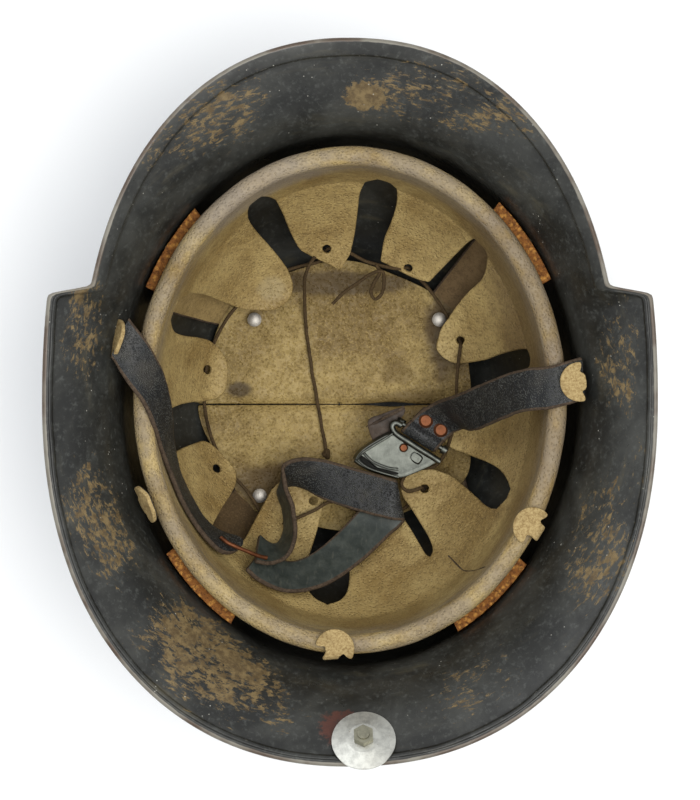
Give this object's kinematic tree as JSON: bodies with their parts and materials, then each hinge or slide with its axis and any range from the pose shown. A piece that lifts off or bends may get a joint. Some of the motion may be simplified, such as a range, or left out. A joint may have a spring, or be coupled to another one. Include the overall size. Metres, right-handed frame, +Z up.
{
  "type": "firefighter helmet",
  "caption": "Black steel fire helmet with a peaked visor and wide neck guard, lying on its crown, with a laced leather liner, cork spacers, crown pad, chin strap and clasp.",
  "frame": {"origin": "under the middle of the rim, at the height of the lowest point of the crown, on which the helmet lies", "axes": "+Z up out of the head opening, +Y towards the visor (longest), +X towards the wearer's left"},
  "size_m": [0.258, 0.3054, 0.1627],
  "materials": {
    "paint": "worn matt paint over steel",
    "zinc": "dull, scratched",
    "bright_steel": "satin, lightly rusted",
    "dark_iron": "dull, tarnished",
    "copper": "tarnished",
    "tan_leather": "worn, stained",
    "brown_leather": "dry",
    "suede": "rough cut edge, matt",
    "black_leather": "pebbled grain, cracked",
    "cork": "crumbly cork",
    "lace": "round lace, matt"
  },
  "bodies": {
    "root": {"shell": "paint", "neck_bolt": "dark_iron", "neck_washer": "bright_steel", "neck_nut": "dark_iron", "liner_band": "brown_leather", "sweatband": "tan_leather", "cork_front_left": "cork", "cork_front_right": "cork", "cork_rear_left": "cork", "cork_rear_right": "cork", "liner_rivets": "dark_iron", "crown_pad_front": "tan_leather", "crown_pad_rear": "tan_leather", "suspension_front_left": "brown_leather", "suspension_front_right": "brown_leather", "suspension_rear_left": "brown_leather", "suspension_rear_right": "brown_leather", "crown_rivets": "bright_steel", "drawstring": "lace", "drawstring_bow": "lace", "drawstring_tail": "lace", "button_left": "suede", "button_right": "suede", "strap_end_left": "black_leather", "strap_end_right": "black_leather"},
    "right_strap": {"chin_strap_right": "black_leather", "strap_rivets": "copper", "clasp_pin": "zinc"},
    "clasp": {"clasp_plate": "zinc", "clasp_rivet": "copper", "clasp_backing": "brown_leather"},
    "left_strap": {"chin_strap_left": "black_leather", "chin_strap_loop": "black_leather", "wire_slide": "copper"},
    "rear_button": {"button_rear": "suede"},
    "rear_left_button": {"button_rear_left": "suede"},
    "rear_right_button": {"button_rear_right": "suede"}
  },
  "joints": [
    {"name": "right_strap_swing", "type": "hinge", "parent": "root", "child": "right_strap", "pos_m": [0.083, 0.005, 0.121], "axis": [0, 1, 0], "range_deg": [0, 120]},
    {"name": "left_strap_swing", "type": "hinge", "parent": "root", "child": "left_strap", "pos_m": [-0.0845, 0.01, 0.12], "axis": [0, -1, 0], "range_deg": [0, 100]},
    {"name": "clasp_flip", "type": "hinge", "parent": "right_strap", "child": "clasp", "pos_m": [0.033, -0.0165, 0.041], "axis": [-0.849, 0.5284, 0], "range_deg": [0, 75]},
    {"name": "rear_button_fold", "type": "hinge", "parent": "root", "child": "rear_button", "pos_m": [-0.00769, -0.10993, 0.1204], "axis": [0.9976, -0.0698, 0], "range_deg": [0, 80]},
    {"name": "rear_left_button_fold", "type": "hinge", "parent": "root", "child": "rear_left_button", "pos_m": [-0.08645, -0.04405, 0.1204], "axis": [0.454, -0.891, 0], "range_deg": [-68, 10]},
    {"name": "rear_right_button_fold", "type": "hinge", "parent": "root", "child": "rear_right_button", "pos_m": [0.0809, -0.05665, 0.1204], "axis": [0.5736, 0.8191, 0], "range_deg": [0, 80]}
  ]
}
